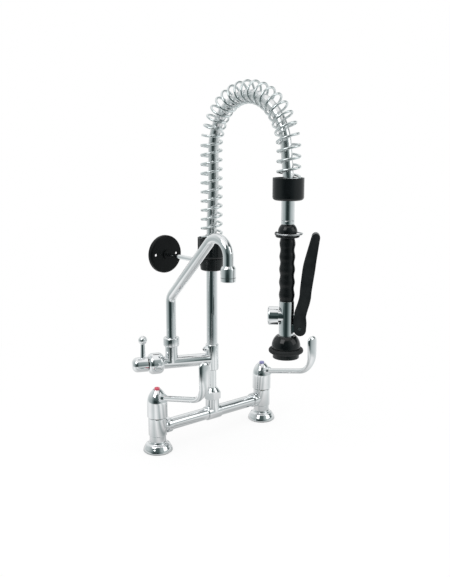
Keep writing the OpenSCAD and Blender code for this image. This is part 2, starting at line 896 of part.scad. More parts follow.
// Chrome body with the branch for the valve cap and the lug for the trigger
module valve_body() {
    branch_d = valve_cap_d - 7;
    color(chrome) at_gun() difference() {
        union() {
            rod(valve_d, valve_z, grip_z);
            rod(nozzle_d, valve_z - 10, grip_z);
            across_gun(stem_z) rod(branch_d, 1 - cap_end + cap_depth - 6, 0);
            across_gun(stem_z) cylinder(d = stem_d + 5, h = valve_d / 2 + 0.5);
            translate([pivot_u, lug_w / 2, pivot_z]) rotate([90, 0, 0]) cylinder(r = lug_r, h = lug_w);
            translate([0, -lug_w / 2, pivot_z - lug_r]) cube([pivot_u, lug_w, 2 * lug_r]);
        }
        rod(tube_d, grip_z - 8, grip_z + cut);
        rod(spigot_d, stem_z, grip_z);
        rod(nozzle_d - 5, valve_z - 10 - cut, stem_z);
        across_gun(stem_z) {
            rod(stem_d + 2 * fit_gap, -valve_d, valve_d);
            rod(stem_plate_d + 2 * face_gap, -cap_end, -valve_d / 2 + 5);
        }
        translate([pivot_u, lug_w, pivot_z]) rotate([90, 0, 0]) cylinder(d = pin_d, h = 2 * lug_w);
    }
}

// Screwed cap over the valve spring
module valve_cap() {
    color(chrome) at_gun() across_gun(stem_z) translate([0, 0, -cap_end]) rotate_extrude()
        difference() {
            union() {
                translate([0, 3]) square([valve_cap_d / 2, cap_depth - 3]);
                square([valve_cap_d / 2 - 3, cap_depth]);
                translate([valve_cap_d / 2 - 3, 3]) circle(3);
            }
            translate([0, 5]) square([valve_cap_d / 2 - 3.5, cap_depth]);
            translate([0, cap_wall]) square([stem_plate_d / 2 + face_gap, cap_depth]);
        }
}

module pivot_pin() {
    color(steel) at_gun() translate([pivot_u, trigger_w / 2, pivot_z]) rotate([90, 0, 0])
        cylinder(d = pin_d, h = trigger_w);
}

// Hollow bell that spreads the water over the jet plate
module spray_bell() {
    mouth_r = bell_d / 2;
    throat_z = bell_h - 10;
    rim_z = bumper_z - bell_z + bumper_h;
    color(black) translate([0, gun_y, bell_z]) rotate_extrude() difference() {
        union() {
            round_both(mouth_r, rim_z + 1, 1);
            translate([0, rim_z]) intersection() {
                square([mouth_r + 3, bell_h - rim_z]);
                translate([0, 3]) circle(mouth_r + 1.7);
            }
            square([bell_top_d / 2, bell_h]);
        }
        translate([0, -cut]) square([mouth_r - 2.5, plate_inset + plate_t + 3 + cut]);
        polygon([
            [0, plate_inset + plate_t + 2],
            [mouth_r - 5, plate_inset + plate_t + 2],
            [nozzle_d / 2, throat_z],
            [0, throat_z]
        ]);
        square([nozzle_d / 2, bell_h + cut]);
    }
}

// Rubber ring that keeps the bell off the dishes
module bumper_ring() {
    rim = bumper_h / 2;
    color(rubber) translate([0, gun_y, bumper_z]) rotate_extrude() difference() {
        union() {
            square([bumper_d / 2 - rim, bumper_h]);
            translate([bumper_d / 2 - rim, rim]) circle(rim);
        }
        translate([0, -cut]) square([bell_d / 2, bumper_h + 2 * cut]);
    }
}

// Disc with rings of water jets
module spray_plate() {
    color(steel) translate([0, gun_y, bell_z + plate_inset]) difference() {
        cylinder(r = bell_d / 2 - 2.5, h = plate_t);
        for (row = [0 : 2])
            for (i = [0 : max(1, 6 * row) - 1])
                rotate([0, 0, 60 * i / max(1, row)]) translate([5.5 * row, 0, -cut])
                    cylinder(d = jet_d, h = plate_t + 2 * cut, $fn = 24);
    }
}

// Stem that the trigger pushes, with the plate that carries the spring
module valve_stem() {
    color(steel) at_gun() across_gun(stem_z) {
        rod(stem_d, 8 - cap_end, stem_tip);
        rod(stem_plate_d, 10.5 - cap_end, 10.5 - cap_end + stem_plate_t);
    }
}

module valve_spring() {
    turns = 4;
    steps = 10;
    wire = 1.1;
    mean_r = stem_plate_d / 2 - wire;
    foot = 10.5 - cap_end - wire / 2 - 0.05;
    pitch = 1.25;
    color(steel) at_gun() across_gun(stem_z) skin([
        for (k = [0 : turns * steps])
            let (a = 360 * k / steps, out = [cos(a), sin(a), 0])
                ring([0, 0, foot - pitch * k / steps] + mean_r * out, out, [0, 0, -1],
                    wire / 2, wire / 2, 5)
    ]);
}

// Stations of the trigger's side view: height above the pivot, centre and depth
trigger_stations = [
    [-2, pivot_u + 0.4, 19],
    [10, pivot_u + 0.2, 20.6],
    [21, pivot_u + 0.4, 18.6],
    [45, pivot_u + 7, 17.6],
    [62, pivot_u + 8.6, 18],
    [92, pivot_u + 12.4, 19],
    [108, pivot_u + 15, 17.6],
    [trigger_l - 6.3, pivot_u + 22.3, 12.6]
];

// Side view of the trigger, shrunk by an inset
module trigger_side(inset) {
    last = trigger_stations[len(trigger_stations) - 1];
    first = trigger_stations[0];
    polygon(concat(
        smooth([for (s = trigger_stations) [s[1] + s[2] / 2 - inset, pivot_z + s[0]]], 4),
        smooth([
            for (i = [len(trigger_stations) - 1 : -1 : 0])
                let (s = trigger_stations[i]) [s[1] - s[2] / 2 + inset, pivot_z + s[0]]
        ], 4)
    ));
    translate([last[1], pivot_z + last[0]]) circle(last[2] / 2 - inset);
    translate([first[1], pivot_z + first[0]]) circle(first[2] / 2 - inset);
}

// Channel-shaped lever that straddles the lug, with a rounded pad that pushes the stem
module trigger() {
    channel_w = trigger_w - 2 * trigger_wall;
    pad_u = stem_tip + fit_gap + stem_pad_r;
    color(black) at_gun() difference() {
        union() {
            difference() {
                rotate([90, 0, 0]) linear_extrude(trigger_w, center = true) trigger_side(0);
                rotate([90, 0, 0]) linear_extrude(channel_w, center = true) intersection() {
                    translate([-trigger_web, 0]) trigger_side(0);
                    translate([0, pivot_z - 30]) square([60, trigger_l + 25]);
                }
            }
            translate([pad_u, trigger_w / 2, stem_z]) rotate([90, 0, 0])
                cylinder(r = stem_pad_r, h = trigger_w);
            translate([pad_u, -trigger_w / 2, stem_z - stem_pad_r])
                cube([pivot_u + 7 - pad_u, trigger_w, 2 * stem_pad_r]);
        }
        translate([pivot_u, trigger_w, pivot_z]) rotate([90, 0, 0])
            cylinder(d = pin_d + 2 * fit_gap, h = 2 * trigger_w);
    }
}

// Wire ring that holds the trigger down
module hold_ring() {
    color(steel) at_gun() translate([hold_centre_u, 0, hold_z]) rotate_extrude()
        translate([(hold_outer_d - hold_wire_d) / 2, 0]) circle(d = hold_wire_d);
}

// ---- Lever handles ----

// Radius of a hub's dome at a share of its height: full at the foot, steep at the top
function hub_r(k) = hub_top_d / 2 + (hub_d - hub_top_d) / 2 * (1 - pow(k, 2.4));

// Spindle with the turning ceramic disc at its foot
module spindle(side) {
    foot = cartridge_foot + 2 + face_gap;
    color(brass) at_inlet(side) {
        rod(disc_d, foot, foot + disc_t);
        rod(spindle_d, foot, hub_top - 14);
    }
}

module hot_spindle() { spindle(-1); }
module cold_spindle() { spindle(1); }

// Bullet-shaped hub with a boss for the lever
module hub(side) {
    screw_top = hub_top - index_depth;
    color(chrome) at_inlet(side) difference() {
        union() {
            rod(hub_d, hub_z, hub_z + hub_straight);
            translate([0, 0, hub_z + hub_straight]) rotate_extrude() polygon([
                [0, 0],
                for (i = [0 : 12]) [hub_r(i / 12), hub_taper * i / 12],
                [0, hub_taper]
            ]);
            translate([0, 0, lever_z(0)]) rotate([90 - lever_slope, 0, 0])
                cylinder(d = lever_boss_d, h = lever_boss_r / cos(lever_slope));
        }
        rod(hub_cavity_d, hub_z - cut, pillar_top + cartridge_hex_h + 1);
        rod(cartridge_neck_d + 3, hub_z, cartridge_top + 1);
        rod(spindle_d, hub_z, hub_top - 14);
        rod(5, hub_z, screw_top);
        rod(index_d, screw_top, hub_top + cut);
        translate([0, 0, lever_z(0)]) rotate([90 - lever_slope, 0, 0]) translate([0, 0, 9])
            cylinder(d = lever_root_d, h = lever_boss_r);
    }
}

module hot_hub() { hub(-1); }
module cold_hub() { hub(1); }

// Section of a lever at a share of its length: width and thickness grow into a paddle
function lever_width(k) = lever_root_d + (paddle_w - lever_root_d) * ease(0.3, 0.9, k);
function lever_thick(k) = lever_root_d + (paddle_t - lever_root_d) * ease(0.3, 0.9, k);

module lever(side) {
    bend_r = 36;
    sides = 20;
    bend = 90 - lever_slope;
    // Start of the bend, measured out from the pillar axis
    bend_start = lever_reach - bend_r * (1 - cos(bend));
    bend_z = lever_z(bend_start) + bend_r * cos(lever_slope);
    tip_z = hub_z + lever_rise;
    root = [0, -9 * cos(lever_slope), lever_z(9 * cos(lever_slope))];
    straight = [for (i = [0 : 4])
        let (r = 9 * cos(lever_slope) + (bend_start - 9 * cos(lever_slope)) * i / 5)
            [[0, -r, lever_z(r)], 90 - lever_slope]];
    curve = [for (i = [0 : 10])
        let (a = lever_slope + bend * i / 10)
            [[0, -(lever_reach - bend_r) - bend_r * sin(a), bend_z - bend_r * cos(a)], 90 - a]];
    dome_z = tip_z - paddle_w / 2;
    upright = [for (i = [1 : 4]) [[0, -lever_reach, bend_z + (dome_z - bend_z) * i / 4], 0]];
    path = concat(straight, curve, upright);
    count = len(path) - 1;
    color(chrome) at_inlet(side) skin(concat(
        [for (i = [0 : count])
            let (k = i / count, lean = path[i][1])
                ring(path[i][0], [1, 0, 0], [0, cos(lean), sin(lean)],
                    lever_width(k) / 2, lever_thick(k) / 2, sides)],
        [for (i = [1 : 6])
            let (a = 84 * i / 6)
                ring([0, -lever_reach, dome_z + paddle_w / 2 * sin(a)],
                    [1, 0, 0], [0, 1, 0],
                    paddle_w / 2 * cos(a), paddle_t / 2 * cos(a), sides)]
    ));
}

module hot_lever() { lever(-1); }
module cold_lever() { lever(1); }

module index_button(side) {
    foot = hub_top - index_depth;
    at_inlet(side) translate([0, 0, foot]) rotate_extrude() intersection() {
        square([index_d / 2, index_h]);
        translate([0, index_h - 9]) circle(9);
    }
}

module hot_index() { color([0.75, 0.08, 0.12]) index_button(-1); }
module cold_index() { color([0.30, 0.28, 0.62]) index_button(1); }

// Screw under the button that holds the hub on its spindle
module hub_screw(side) {
    color(steel) at_inlet(side) socket_screw(hub_top - 14, hub_top - index_depth - 0.5, 5);
}

module hot_screw() { hub_screw(-1); }
module cold_screw() { hub_screw(1); }

// ---- Side tap ----

module side_cartridge() {
    foot = globe_end - side_cartridge_l;
    color(brass) along_arm() difference() {
        rod(side_cartridge_d, foot, globe_end);
        rod(side_spindle_d + 2 * fit_gap, foot + 3, globe_end + cut);
        rod(14 + 2 * face_gap, foot + 2, foot + 2 + disc_t + 2 * face_gap);
        translate([4, 0, foot - cut]) cylinder(d = 5, h = 4);
    }
}

module side_spindle() {
    foot = globe_end - side_cartridge_l + 2 + face_gap;
    color(brass) along_arm() {
        rod(14, foot, foot + disc_t);
        rod(side_spindle_d, foot, globe_end + side_hub_l - 8);
    }
}

module side_hub() {
    start = globe_end + 2 * face_gap;
    length = side_hub_l - 2 * face_gap;
    color(chrome) along_arm() difference() {
        translate([0, 0, start]) rotate_extrude() intersection() {
            square([side_hub_d / 2, length]);
            round_top(side_hub_d / 2, length, 9);
        }
        rod(side_spindle_d, globe_end, globe_end + side_hub_l - 8);
        translate([0, 0, globe_end + 8]) rotate([0, -90, 0])
            translate([0, 0, side_hub_d / 2 - 5]) cylinder(d = 9, h = 20);
    }
}

// Turned lever with a ball end, upright when the tap is shut
module side_lever() {
    color(chrome) along_arm() translate([0, 0, globe_end + 8]) rotate([0, -90, 0]) {
        rod(9, side_hub_d / 2 - 5, side_hub_d / 2 + 2);
        translate([0, 0, side_hub_d / 2 + 2])
            cylinder(d1 = 9, d2 = 7, h = side_lever_l - side_hub_d / 2 - 4);
        translate([0, 0, side_lever_l]) sphere(d = side_ball_d);
    }
}

// ---- Spout ----

// Nut that holds the spout down on its seat
module spout_nut() {
    foot = spout_seat_z - spout_nut_lap;
    color(chrome) at_spout() translate([0, 0, foot]) rotate_extrude() difference() {
        round_both(spout_nut_d / 2, spout_nut_h, 3);
        translate([0, -cut]) square([spout_seat_d / 2, spout_nut_lap + cut]);
        translate([0, -cut])
            square([spout_bore_d / 2 + 1, spout_nut_lap + slip_ring_t + 2 * face_gap + cut]);
        translate([0, -cut]) square([spout_d / 2 + 0.3, spout_nut_h + 2 * cut]);
    }
}

// Solid rod of a diameter that follows the spout's whole course. The bends are a hair
// slimmer than the straight lengths, which run a little way over them.
module spout_course(d, foot, tip) {
    $fn = 40;
    lap = 0.5;
    bend_d = d - 0.1;
    start = knee_r * tan(22.5);
    slant = (spout_reach - hook_r * (1 + cos(45))) / cos(45) - start;
    rod(d, foot, spout_knee_z - start + lap);
    translate([0, -knee_r, spout_knee_z - start]) rotate([0, -90, 0]) rotate([0, 0, 90])
        rotate_extrude(angle = -45) translate([knee_r, 0]) circle(d = bend_d);
    translate([0, -start * cos(45), spout_knee_z + start * sin(45)]) rotate([45, 0, 0])
        translate([0, 0, -lap]) cylinder(d = d, h = slant + 2 * lap);
    translate([0, -spout_reach + hook_r, hook_z]) rotate([0, -90, 0]) rotate([0, 0, -90])
        rotate_extrude(angle = 135) translate([hook_r, 0]) circle(d = bend_d);
    translate([0, -spout_reach, 0]) rod(d, tip, hook_z + lap);
}

module spout_tube() {
    tip = outlet_z + 1;
    color(chrome) at_spout() difference() {
        spout_course(spout_d, spout_foot_z, tip);
        spout_course(spout_d - 2 * spout_wall, spout_foot_z - cut, tip - cut);
    }
}

// Slip ring under the nut and the two seals below it
module spout_rings() {
    at_spout() {
        color(black) pipe(spout_bore_d + 1.4, spout_d, spout_seat_z + face_gap,
            spout_seat_z + face_gap + slip_ring_t);
        for (drop = [8, 15])
            color(rubber) pipe(spout_bore_d - 2 * fit_gap, spout_d,
                spout_seat_z - drop, spout_seat_z - drop + 3);
    }
}

module aerator_housing() {
    foot = outlet_z - 6;
    shoulder = 4;
    color(chrome) at_spout() translate([0, -spout_reach, foot]) rotate_extrude() difference() {
        union() {
            translate([0, 1]) square([aerator_d / 2, aerator_h - shoulder - 1]);
            square([aerator_d / 2 - 1, aerator_h - shoulder]);
            translate([aerator_d / 2 - 1, 1]) circle(1);
            polygon([
                [0, aerator_h - shoulder - 1],
                [aerator_d / 2, aerator_h - shoulder],
                [spout_d / 2 + 1, aerator_h],
                [0, aerator_h]
            ]);
        }
        translate([0, -cut]) square([aerator_d / 2 - 2.5, 7 + cut]);
        translate([0, -cut]) square([spout_d / 2, aerator_h + 2 * cut]);
    }
}

// Jet former with a ring of air slots and a mesh face
module aerator_insert() {
    foot = outlet_z - 5.5;
    color(steel) at_spout() translate([0, -spout_reach, foot]) difference() {
        cylinder(r = aerator_d / 2 - 2.5, h = 6.5);
        for (row = [1, 2])
            for (i = [0 : 6 * row - 1])
                rotate([0, 0, 60 * i / row]) translate([3 * row, 0, -cut])
                    cylinder(d = 2, h = 8 + cut, $fn = 24);
    }
}

// ---- Node switch ----

deck_gaskets();
base_flanges();
inlet_shanks();
inlet_strainers();
check_valves();
pillar_body_hot();
pillar_body_cold();
cartridge_hot();
cartridge_cold();
bridge_nuts();
bridge_tubes();
bridge_tee();
column_nut();
lower_column();
tap_body();
set_screws();
riser_tube();
bracket_clamp();
bracket_rod();
wall_rosette();
lower_cup();
hose_union();
spout_nut();
side_cartridge();
hot_spindle();
hot_hub();
hot_lever();
hot_index();
hot_screw();
cold_spindle();
cold_hub();
cold_lever();
cold_index();
cold_screw();
side_spindle();
side_hub();
side_lever();
spout_tube();
spout_rings();
aerator_housing();
aerator_insert();
spring();
hose();
hose_ferrule();
upper_cup();
hose_end_tube();
swivel_nut();
grip_tube();
grip_collar();
grip();
valve_body();
valve_cap();
pivot_pin();
spray_bell();
bumper_ring();
spray_plate();
valve_stem();
valve_spring();
trigger();
hold_ring();
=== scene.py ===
"""Looks of a deck-mounted pre-rinse faucet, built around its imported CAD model.

Units are metres, in the CAD model's frame: the deck is at Z = 0, X runs along the bridge
with the hot side at -X, and the user stands at -Y. Texture scales are cells per metre.
"""
import json
import math

import bmesh
import bpy
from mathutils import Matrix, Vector
from mathutils.bvhtree import BVHTree


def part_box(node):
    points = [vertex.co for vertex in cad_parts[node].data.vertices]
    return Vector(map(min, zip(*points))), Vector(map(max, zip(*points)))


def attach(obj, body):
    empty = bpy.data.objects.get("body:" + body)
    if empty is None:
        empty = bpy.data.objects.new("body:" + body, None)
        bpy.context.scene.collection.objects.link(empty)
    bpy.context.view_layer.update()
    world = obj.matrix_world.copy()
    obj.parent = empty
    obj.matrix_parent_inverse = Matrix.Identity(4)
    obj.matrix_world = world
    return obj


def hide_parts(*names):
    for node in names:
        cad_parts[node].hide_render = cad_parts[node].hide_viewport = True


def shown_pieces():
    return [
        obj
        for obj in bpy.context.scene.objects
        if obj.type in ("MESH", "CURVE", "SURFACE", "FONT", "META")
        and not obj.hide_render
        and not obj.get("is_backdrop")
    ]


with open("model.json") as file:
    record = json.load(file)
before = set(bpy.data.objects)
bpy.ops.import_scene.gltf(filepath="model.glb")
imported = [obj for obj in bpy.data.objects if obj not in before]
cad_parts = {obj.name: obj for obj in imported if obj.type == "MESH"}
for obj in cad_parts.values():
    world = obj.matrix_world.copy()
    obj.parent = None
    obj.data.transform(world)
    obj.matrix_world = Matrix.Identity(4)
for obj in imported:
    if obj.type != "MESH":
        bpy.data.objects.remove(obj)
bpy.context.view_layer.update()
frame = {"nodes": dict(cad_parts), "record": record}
nodes = frame["nodes"]

MM = 0.001
FULL_TURN = 2 * math.pi


def link_new(name, data):
    """New object of some data, in the scene."""
    made = bpy.data.objects.new(name, data)
    bpy.context.scene.collection.objects.link(made)
    return made


# ---- Camera ----

CAMERA_PLACE = Vector((-0.8658, -1.0596, 0.5405))
CAMERA_TURN = 40.21  # degrees, from +Y toward +X
CAMERA_PITCH = 11.30  # degrees below the horizon
LENS = 50.0
SENSOR = 36.0
SHIFT_X = 0.0
SHIFT_Y = 0.0
NEAREST_SEEN = 0.05
FARTHEST_SEEN = 30.0
PHOTO_W = 450
PHOTO_H = 577


def add_camera():
    data = bpy.data.cameras.new("camera")
    data.lens = LENS
    data.sensor_width = SENSOR
    data.sensor_fit = "AUTO"
    data.shift_x = SHIFT_X
    data.shift_y = SHIFT_Y
    data.clip_start = NEAREST_SEEN
    data.clip_end = FARTHEST_SEEN
    made = link_new("camera", data)
    made.location = CAMERA_PLACE
    made.rotation_euler = (
        math.radians(90 - CAMERA_PITCH), 0, -math.radians(CAMERA_TURN)
    )
    bpy.context.scene.camera = made
    bpy.context.view_layer.update()
    return made


camera = add_camera()

# ---- Node helpers for materials ----


def ramp_along(tree, source, stops):
    """Colours along a value: (value, (r, g, b)) pairs."""
    ramp = tree.nodes.new("ShaderNodeValToRGB")
    elements = ramp.color_ramp.elements
    while len(elements) < len(stops):
        elements.new(0.5)
    for element, (value, colour) in zip(elements, stops):
        element.position = value
        element.color = (*colour, 1)
    tree.links.new(source, ramp.inputs["Fac"])
    return ramp.outputs["Color"]


class Graph:
    """A material's node tree, with short calls for the nodes that the looks need."""

    def __init__(self, name):
        self.material = bpy.data.materials.new(name)
        self.material.use_nodes = True
        self.tree = self.material.node_tree
        self.shader = self.tree.nodes["Principled BSDF"]
        self.place = self.tree.nodes.new("ShaderNodeTexCoord").outputs["Object"]

    def node(self, kind, **values):
        made = self.tree.nodes.new(kind)
        for key, value in values.items():
            setattr(made, key, value)
        return made

    def link(self, source, target):
        self.tree.links.new(source, target)

    def set(self, **values):
        """Values of the shader's own sockets."""
        for key, value in values.items():
            self.shader.inputs[key.replace("_", " ")].default_value = value

    def noise(self, scale, detail=3.0, rough=0.55, stretch=None):
        source = self.place
        if stretch:
            mapping = self.node("ShaderNodeMapping")
            mapping.inputs["Scale"].default_value = stretch
            self.link(source, mapping.inputs["Vector"])
            source = mapping.outputs["Vector"]
        made = self.node("ShaderNodeTexNoise")
        made.inputs["Scale"].default_value = scale
        made.inputs["Detail"].default_value = detail
        made.inputs["Roughness"].default_value = rough
        self.link(source, made.inputs["Vector"])
        return made.outputs["Fac"]

    def calculate(self, kind, *values):
        """Math node: each value is a number or a socket."""
        made = self.node("ShaderNodeMath", operation=kind)
        for socket, value in zip(made.inputs, values):
            if isinstance(value, (int, float)):
                socket.default_value = value
            else:
                self.link(value, socket)
        return made.outputs[0]

    def spread(self, source, low, high, start=0.3, stop=0.7):
        """Maps start..stop, by default a texture's middle range, onto low..high."""
        made = self.node("ShaderNodeMapRange")
        made.inputs["From Min"].default_value = start
        made.inputs["From Max"].default_value = stop
        made.inputs["To Min"].default_value = low
        made.inputs["To Max"].default_value = high
        self.link(source, made.inputs["Value"])
        return made.outputs["Result"]

    def colours(self, source, *stops):
        """The shader's colour along a texture's value."""
        self.link(ramp_along(self.tree, source, stops), self.shader.inputs["Base Color"])

    def rough(self, source):
        self.link(source, self.shader.inputs["Roughness"])

    def bump(self, source, depth, strength=1.0):
        made = self.node("ShaderNodeBump")
        made.inputs["Strength"].default_value = strength
        made.inputs["Distance"].default_value = depth
        self.link(source, made.inputs["Height"])
        self.link(made.outputs["Normal"], self.shader.inputs["Normal"])

    def mix(self, a, b, share=0.5):
        made = self.node("ShaderNodeMix")
        made.inputs["Factor"].default_value = share
        self.link(a, made.inputs["A"])
        self.link(b, made.inputs["B"])
        return made.outputs["Result"]

    def mix_shaders(self, share, a, b):
        made = self.node("ShaderNodeMixShader")
        for socket, source in zip(made.inputs, (share, a, b)):
            self.link(source, socket)
        return made.outputs[0]


# ---- Materials: colours are dark, pale pairs, and rough is a low, high pair ----


def chrome(name, tint, rough):
    """Polished chrome plate: faint polishing haze and water marks in the gloss."""
    graph = Graph(name)
    graph.set(Metallic=1.0)
    haze = graph.noise(38, 4)
    marks = graph.noise(240, 2)
    dark = tuple(0.93 * value for value in tint)
    graph.colours(haze, (0.35, dark), (0.65, tint))
    graph.rough(graph.spread(graph.mix(haze, marks), *rough))
    graph.bump(graph.noise(22, 2), 0.02 * MM, 0.35)
    return graph.material


def moulded(name, dark, pale, grain, depth, rough, gloss):
    """Black moulded plastic or rubber with a fine eroded grain."""
    graph = Graph(name)
    graph.set(Specular_IOR_Level=gloss)
    grains = graph.noise(grain, 2, 0.6)
    wear = graph.noise(55, 4)
    graph.colours(wear, (0.3, dark), (0.75, pale))
    graph.rough(graph.spread(graph.mix(wear, grains, 0.4), *rough))
    graph.bump(grains, depth)
    return graph.material


def turned(name, dark, pale, rough):
    """Turned or drawn metal with fine rings or lines in its gloss."""
    graph = Graph(name)
    graph.set(Metallic=1.0)
    lines = graph.noise(160, 3, 0.6, stretch=(1, 1, 14))
    patches = graph.noise(45, 3)
    graph.colours(patches, (0.3, dark), (0.7, pale))
    graph.rough(graph.spread(lines, *rough))
    graph.bump(lines, 0.03 * MM, 0.5)
    return graph.material


def glossy_plastic(name, dark, pale):
    """Coloured index button, cast through and polished."""
    graph = Graph(name)
    cloud = graph.noise(260, 3)
    graph.colours(cloud, (0.3, dark), (0.7, pale))
    graph.rough(graph.spread(cloud, 0.16, 0.28))
    graph.bump(graph.noise(900, 2), 0.01 * MM, 0.4)
    graph.set(Coat_Weight=0.4, Coat_Roughness=0.08)
    return graph.material


BRAID_MAP = "braid"
BRAID_PITCH = 34 * MM
BRAID_STRANDS = 12


def braided(name):
    """Hose cover of bright wire: two sets of strands that cross, with painted shade that darkens
    the gaps between them.

    The braid's own map holds the share of a turn as X and the length along the hose as Y.
    """
    graph = Graph(name)
    graph.set(Metallic=1.0)
    parts = graph.node("ShaderNodeSeparateXYZ")
    graph.link(graph.node("ShaderNodeUVMap", uv_map=BRAID_MAP).outputs["UV"], parts.inputs[0])
    waves = FULL_TURN * BRAID_STRANDS
    round_way = graph.calculate("MULTIPLY", parts.outputs["X"], waves)
    long_way = graph.calculate("MULTIPLY", parts.outputs["Y"], waves / BRAID_PITCH)
    one = graph.calculate("SINE", graph.calculate("ADD", round_way, long_way))
    other = graph.calculate("SINE", graph.calculate("SUBTRACT", round_way, long_way))
    crossing = graph.calculate("MULTIPLY", one, other)
    weave_and_gap_shade = graph.calculate("MULTIPLY_ADD", crossing, 0.5, 0.5)
    # Painted shade: the colour follows the weave's pattern and goes darker where the weave
    # sinks, in the gaps between strands.
    graph.colours(weave_and_gap_shade, (0.05, (0.55, 0.555, 0.56)), (0.4, (0.88, 0.885, 0.89)))
    graph.rough(graph.spread(graph.noise(300, 2), 0.16, 0.26))
    graph.bump(weave_and_gap_shade, 0.1 * MM, 0.35)
    return graph.material


# By material slot, or by node where one piece differs from the rest of its slot
looks = {
    "chrome": chrome("chrome", (0.86, 0.875, 0.885), rough=(0.03, 0.085)),
    "black_plastic": moulded(
        "black_plastic", (0.0026, 0.0036, 0.0040), (0.0055, 0.0073, 0.0080),
        grain=1800, depth=0.02 * MM, rough=(0.09, 0.19), gloss=0.42,
    ),
    "grip_plastic": moulded(
        "grip_plastic", (0.0022, 0.0031, 0.0035), (0.0055, 0.0073, 0.0080),
        grain=1400, depth=0.04 * MM, rough=(0.2, 0.34), gloss=0.34,
    ),
    "rubber": moulded(
        "rubber", (0.0040, 0.0051, 0.0055), (0.0104, 0.0131, 0.0140),
        grain=900, depth=0.12 * MM, rough=(0.48, 0.7), gloss=0.4,
    ),
    "trigger": moulded(
        "trigger_plastic", (0.007, 0.009, 0.010), (0.013, 0.016, 0.017),
        grain=1500, depth=0.04 * MM, rough=(0.24, 0.4), gloss=0.38,
    ),
    "wall_rosette": moulded(
        "satin_plastic", (0.0015, 0.0021, 0.0025), (0.0034, 0.0046, 0.0050),
        grain=1300, depth=0.06 * MM, rough=(0.32, 0.5), gloss=0.16,
    ),
    "brass": turned("brass", (0.66, 0.49, 0.24), (0.80, 0.62, 0.32), rough=(0.16, 0.34)),
    "steel": turned("steel", (0.50, 0.51, 0.52), (0.62, 0.63, 0.64), rough=(0.14, 0.32)),
    "hose": braided("hose"),
    "spring": chrome("spring_steel", (0.77, 0.81, 0.815), rough=(0.12, 0.2)),
    "hot_red": glossy_plastic("hot_red", (0.52, 0.06, 0.10), (0.70, 0.10, 0.15)),
    "cold_violet": glossy_plastic("cold_violet", (0.20, 0.20, 0.42), (0.29, 0.28, 0.54)),
}
slot_of = {part["node"]: part["material_slot"] for part in frame["record"]["subparts"]}

# ---- CAD nodes: materials, smooth faces and broken edges ----

JOIN_WITHIN = 0.002 * MM
SMOOTH_BELOW = math.radians(32)
EDGE_BREAK = 0.35 * MM
EDGE_STEPS = 2
ROUND_EDGE = {"trigger": 1.4 * MM, "hot_index": 0.8 * MM, "cold_index": 0.8 * MM}
ROUND_STEPS = 3


def soften_tree():
    """Node tree that joins the CAD mesh along its faces and shades it smooth between edges."""
    tree = bpy.data.node_groups.new("soften", "GeometryNodeTree")
    for side in ("INPUT", "OUTPUT"):
        tree.interface.new_socket("Geometry", in_out=side, socket_type="NodeSocketGeometry")
    made = {
        key: tree.nodes.new(kind)
        for key, kind in (
            ("in", "NodeGroupInput"),
            ("join", "GeometryNodeMergeByDistance"),
            ("faces", "GeometryNodeSetShadeSmooth"),
            ("edges", "GeometryNodeSetShadeSmooth"),
            ("angle", "GeometryNodeInputMeshEdgeAngle"),
            ("flat", "FunctionNodeCompare"),
            ("out", "NodeGroupOutput"),
        )
    }
    made["join"].inputs["Distance"].default_value = JOIN_WITHIN
    made["edges"].domain = "EDGE"
    made["flat"].operation = "LESS_THAN"
    made["flat"].inputs["B"].default_value = SMOOTH_BELOW
    chain = [made[key] for key in ("in", "join", "faces", "edges", "out")]
    for source, target in zip(chain, chain[1:]):
        tree.links.new(source.outputs[0], target.inputs[0])
    tree.links.new(made["angle"].outputs["Unsigned Angle"], made["flat"].inputs["A"])
    tree.links.new(made["flat"].outputs[0], made["edges"].inputs["Shade Smooth"])
    return tree


soften = soften_tree()
for name, node in nodes.items():
    node.data.materials.clear()
    node.data.materials.append(looks.get(name) or looks[slot_of[name]])
    node.modifiers.new("soften", "NODES").node_group = soften
    bevel = node.modifiers.new("edge_break", "BEVEL")
    bevel.limit_method = "ANGLE"
    bevel.angle_limit = SMOOTH_BELOW
    bevel.width = ROUND_EDGE.get(name, EDGE_BREAK)
    bevel.segments = ROUND_STEPS if name in ROUND_EDGE else EDGE_STEPS
    bevel.harden_normals = True

# ---- Coil spring and hose: s is the length along the arch from the spring's foot ----

SPRING_D = 38 * MM
WIRE_D = 3.8 * MM
SPRING_TURNS = 36
CLOSED_GAP = 0.4 * MM  # between the wires of a closed turn and the next
CUP_FLOOR = 4 * MM
CUP_GAP = 0.05 * MM  # between the wire and the floor of the upper cup
WIRE_STEPS = 36  # for each turn
WIRE_SIDES = 10
spring_low, spring_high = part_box("spring")
arch_r = (spring_high.y - spring_low.y - SPRING_D) / 2
arch_z = spring_high.z - SPRING_D / 2 - arch_r
spring_foot = spring_low.z + WIRE_D / 2
spring_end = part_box("upper_cup")[0].z + CUP_FLOOR + WIRE_D / 2 + CUP_GAP
leg_a = arch_z - spring_foot
leg_b = arch_z - spring_end
arc_l = math.pi * arch_r
spring_l = leg_a + arc_l + leg_b
closed_pitch = WIRE_D + CLOSED_GAP
open_pitch = (spring_l - 2 * closed_pitch) / (SPRING_TURNS - 2)


def ease(start, stop, value):
    """Smooth step from 0 at start to 1 at stop."""
    share = min(max((value - start) / (stop - start), 0), 1)
    return share * share * (3 - 2 * share)


def arch_out(s):
    """Direction from the arch's centre to its path."""
    turn = math.pi * min(max((s - leg_a) / arc_l, 0), 1)
    return Vector((0, math.cos(turn), math.sin(turn)))


def arch_point(s):
    """Place on the path: up one leg, round the half circle and down the other leg."""
    drop = max(0, leg_a - s) + max(0, s - leg_a - arc_l)
    return Vector((0, -arch_r, arch_z - drop)) + arch_r * arch_out(s)


def spring_s(t):
    """Length along the arch at turn t: the first and the last turn are closed."""
    if t < 1:
        return t * closed_pitch
    if t > SPRING_TURNS - 1:
        return spring_l - (SPRING_TURNS - t) * closed_pitch
    return closed_pitch + (t - 1) * open_pitch


